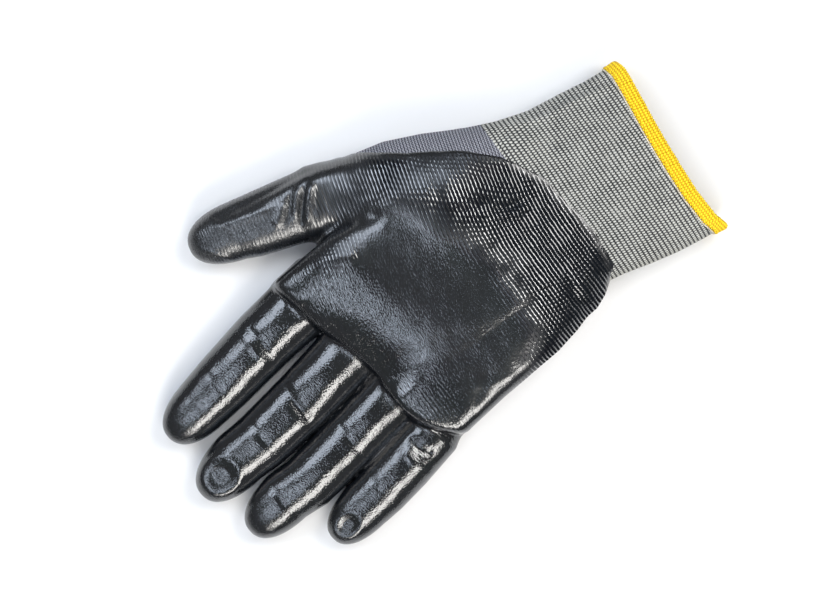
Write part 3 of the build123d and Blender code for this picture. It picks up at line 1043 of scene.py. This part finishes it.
def cuff_outside(materials):
    """The cuff's knitted face: rows of loops that stand out of it."""
    columns = CUFF_WALES * 4
    rows = 210
    points, normals, faces, share = cuff_surface(rows, columns, 0.6, KNIT_CHANGE + 0.4)
    along = points[:, 0] - CUFF_LEAN * points[:, 1]
    course = along / CUFF_COURSE + 0.10 * waves(points, 22.0, 31)
    row = np.floor(course)
    across = share * CUFF_WALES + 0.5 * (row % 2) + 0.12 * waves(points, 24.0, 33)
    swell = np.clip(np.sin(math.pi * (course - row)), 0, 1) ** 0.7
    loop = swell * (0.12 + 0.88 * np.sin(math.pi * (across % 1.0)))
    loop = np.clip(loop * (0.92 + 0.08 * waves(points, 9.0, 35)), 0, 1)
    lift = LOOP_RELIEF * (loop - 0.45) * smooth_step(0.05, 0.8, points[:, 2])
    outside = points + normals * lift[:, None]
    stored = {"knit": plan_places(across * CUFF_WALE, along), "loop": np.stack((loop, loop, loop), axis=1)}
    skin_piece("cuff_knit_outside", outside, faces, mesh_normals(outside, faces), stored,
               materials["cuff"], "cuff_knit")


def cuff_inside(materials):
    """The cuff's plain inner face."""
    points, normals, faces, share = cuff_surface(40, 240, 0.9, KNIT_CHANGE + 1.0)
    stored = {"knit": plan_places(share * CUFF_ROUND, points[:, 0]), "loop": np.full((len(points), 3), 0.22)}
    skin_piece("cuff_knit_inside", points - normals * CUFF_WALL, faces[:, ::-1], -normals, stored,
               materials["cuff"], "cuff_knit")


def tube(path, radius, sides, closed=False):
    """Points, faces and thread places of a thread of one radius along a path."""
    if closed:
        forward = np.roll(path, -1, axis=0) - np.roll(path, 1, axis=0)
    else:
        forward = np.gradient(path, axis=0)
    forward = unit(forward)
    guide = (1.0, 0.0, 0.0) if closed else (0.31, 0.22, 0.93)
    first = unit(np.cross(forward, guide))
    second = np.cross(forward, first)
    turn = np.arange(sides) * 2 * math.pi / sides
    ring = first[:, None] * np.cos(turn)[:, None] + second[:, None] * np.sin(turn)[:, None]
    points = (path[:, None] + radius * ring).reshape(-1, 3)
    faces = grid_faces(len(path) + closed, sides) % len(points)
    run = np.concatenate(((0,), np.cumsum(np.linalg.norm(np.diff(path, axis=0), axis=1))))
    around = np.tile(turn / (2 * math.pi), len(path))
    return points, faces, plan_places(around, np.repeat(run, sides))


def hem_piece(name, points, faces, places, material):
    """A piece of the hem, riding with the cuff."""
    piece = build_piece(name, points, faces, None, {"knit": places}, material)
    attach(piece, "cuff")
    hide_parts("hem_overlock")


def thread_piece(name, threads, material):
    """One piece of the hem from many threads."""
    points, faces, places, count = [], [], [], 0
    for thread_points, thread_faces, place in threads:
        points.append(thread_points)
        faces.append(thread_faces + count)
        places.append(place)
        count += len(thread_points)
    points = np.concatenate(points)
    points[:, 2] = np.maximum(points[:, 2], 0.02)
    hem_piece(name, points, np.concatenate(faces), np.concatenate(places), material)


def ring_point(x, share, lift):
    """A point off the cuff's surface at a place round it, and at a height above the knit."""
    here = sleeve_ring(x, share)
    run = sleeve_ring(x, (share + 0.002) % 1.0) - here
    out = unit(np.stack((np.zeros(len(run)), run[:, 2], -run[:, 1]), axis=1))
    middle, _, centre, _ = sleeve_size(x)
    facing = out[:, 1] * (here[:, 1] - middle) + out[:, 2] * (here[:, 2] - centre)
    out *= np.sign(facing)[:, None]
    here[:, 2] = np.maximum(here[:, 2], 0)
    return here + out * np.asarray(lift)[..., None]


def hem_wraps():
    """Slanting wraps of thread from the cuff's outside round its edge to its inside."""
    chance = np.random.default_rng(77)
    bend = np.linspace(-math.pi / 2, math.pi / 2, 7)[1:-1]
    outside = np.linspace(HEM_WIDTH, 1.6, 6)
    reach = np.concatenate((outside, WRAP_BEND * (1 - np.cos(bend)), np.linspace(1.6, 3.6, 3)))
    lift = np.concatenate((np.linspace(0.35, 0.62, 6), -0.65 - 1.25 * np.sin(bend), np.full(3, -1.9)))
    slant = np.linspace(0.0, WRAP_SLANT, len(reach)) / WRAP_COUNT
    wraps = []
    for number in range(WRAP_COUNT):
        jitter = chance.normal(0, WRAP_JITTER)
        share = (number / WRAP_COUNT + slant + jitter * 0.3 / WRAP_COUNT) % 1.0
        x = hem_line(share) + reach + jitter
        path = ring_point(x, share, lift + 0.04 * chance.normal())
        wraps.append(tube(path, WRAP_RADIUS, 7))
    return wraps


def hem_ground(materials):
    """The plain band under the wraps, which closes the gaps between them."""
    columns = WRAP_COUNT * 2
    share = np.tile(np.arange(columns) / columns, len(GROUND_REACH))
    reach = np.repeat(GROUND_REACH, columns)
    base = ring_point(hem_line(share) + reach, share, np.repeat(GROUND_LIFT, columns))
    base[:, 2] = np.maximum(base[:, 2], 0.03)
    faces = grid_faces(len(GROUND_REACH), columns)
    places = plan_places(share * WRAP_COUNT, reach)
    hem_piece("hem_ground", base, faces, places, materials["hem"])


def hem_threads(materials):
    """The overlocked hem: wraps, the looper thread beside them, a cream tail yarn and the ground."""
    fine = np.arange(WRAP_COUNT * 8) / (WRAP_COUNT * 8)
    turn = 2 * math.pi * fine * WRAP_COUNT
    wave = np.sin(turn)
    start = hem_line(fine) + HEM_WIDTH
    looper = ring_point(start + 0.25 + 0.38 * wave, fine, 0.62 + 0.25 * np.cos(turn))
    wraps = hem_wraps() + [tube(looper, LOOPER_RADIUS, 6, closed=True)]
    thread_piece("hem_wraps", wraps, materials["hem"])
    tail = ring_point(start + 1.25 + 0.12 * wave, fine, 0.30 + 0.1 * wave)
    tail = tube(tail, TAIL_RADIUS, 6, closed=True)
    thread_piece("hem_tail_yarn", [tail], materials["tail"])
    hem_ground(materials)


def build_glove():
    """Every visible piece of the glove with its material."""
    materials = {
        "coating": coating_material(),
        "liner": liner_material(),
        "cuff": cuff_material(),
        # each thread: its painted shading colour for the twist's grooves, then its own colour
        "hem": thread_material("hem_thread", (0.62, 0.32, 0.0), (1.0, 0.76, 0.02), 1.4),
        "tail": thread_material("cream_yarn", (0.50, 0.44, 0.33), (0.80, 0.74, 0.62), 1.1),
    }
    hand_skin(materials)
    cuff_outside(materials)
    cuff_inside(materials)
    hem_threads(materials)
    yarns = frame["nodes"]["cuff_elastic_yarns"]
    yarns.data.materials.clear()
    yarns.data.materials.append(elastic_material())


# Each lamp's name, place, size, power in watts, and colour; all of them face the middle of the floor
LAMPS = [
    ("light_little_side", (0.35, 0.74, 0.90), (1.0, 0.36), 8.8, (1.0, 0.975, 0.94)),
    ("light_thumb_side", (0.05, -0.61, 0.97), (1.1, 0.44), 6.6, (0.77, 0.86, 1.0)),
    ("light_finger_end", (0.56, 0.05, 1.0), (0.22, 0.5), 1.6, (0.77, 0.86, 1.0)),
    ("light_cuff_end", (-0.66, 0.08, 0.90), (0.5, 0.6), 7.5, (1.0, 0.99, 0.97)),
]
FLOOR_SIZE = 6
FLOOR_SHADE = 0.9
WORLD_STRENGTH = 0.16


def studio_floor():
    """A pale floor under the glove."""
    bpy.ops.mesh.primitive_plane_add(size=FLOOR_SIZE)
    floor = bpy.context.object
    floor.name = "floor"
    pale = Graph("floor")
    pale.set(pale.shader.inputs["Base Color"], (FLOOR_SHADE, FLOOR_SHADE, FLOOR_SHADE))
    floor.data.materials.append(pale.material)


def studio_lights():
    """Two long soft lights over the glove's sides, two smaller ones beyond its ends, and a dim surround."""
    for name, place, size, power, colour in LAMPS:
        data = bpy.data.lights.new(name, "AREA")
        data.shape = "RECTANGLE"
        data.size, data.size_y = size
        data.energy = power
        data.color = colour
        lamp = add_object(name, data)
        lamp.location = place
        x, y, z = place
        lamp.rotation_euler = (-math.atan2(y, math.hypot(x, z)), math.atan2(x, z), 0)
    world = bpy.data.worlds.new("world")
    world.use_nodes = True
    background = world.node_tree.nodes["Background"]
    background.inputs["Color"].default_value = (1, 1, 1, 1)
    background.inputs["Strength"].default_value = WORLD_STRENGTH
    bpy.context.scene.world = world
    bpy.context.scene.view_settings.view_transform = "Standard"


VIEW_AIM = (124.4, -12.5, 12.0)
VIEW_WIDTH = 0.3611          # metres across the picture at the glove
VIEW_TURN = 142.7558         # degrees from the model's X to the picture's right
VIEW_TILT = 4.0              # degrees off upright, towards the cuff
LENS = 85.0
HALF_SENSOR = 18.0


def camera():
    """A long lens above the palm, with the fingers towards the lower left."""
    data = bpy.data.cameras.new("camera")
    data.lens = LENS
    data.clip_end = 10
    cam = add_object("camera", data)
    turn = math.radians(VIEW_TURN)
    tilt = math.radians(VIEW_TILT)
    right = Vector((math.cos(turn), math.sin(turn), 0))
    direction = Vector((-math.sin(tilt), 0, math.cos(tilt)))
    side = (right - direction * right.dot(direction)).normalized()
    top = direction.cross(side)
    distance = VIEW_WIDTH / 2 * LENS / HALF_SENSOR
    cam.location = Vector(to_model(VIEW_AIM)) + direction * distance
    cam.rotation_mode = "QUATERNION"
    cam.rotation_quaternion = Matrix([[side[i], top[i], direction[i]] for i in range(3)]).to_quaternion()
    bpy.context.scene.camera = cam


build_glove()
studio_floor()
studio_lights()
camera()
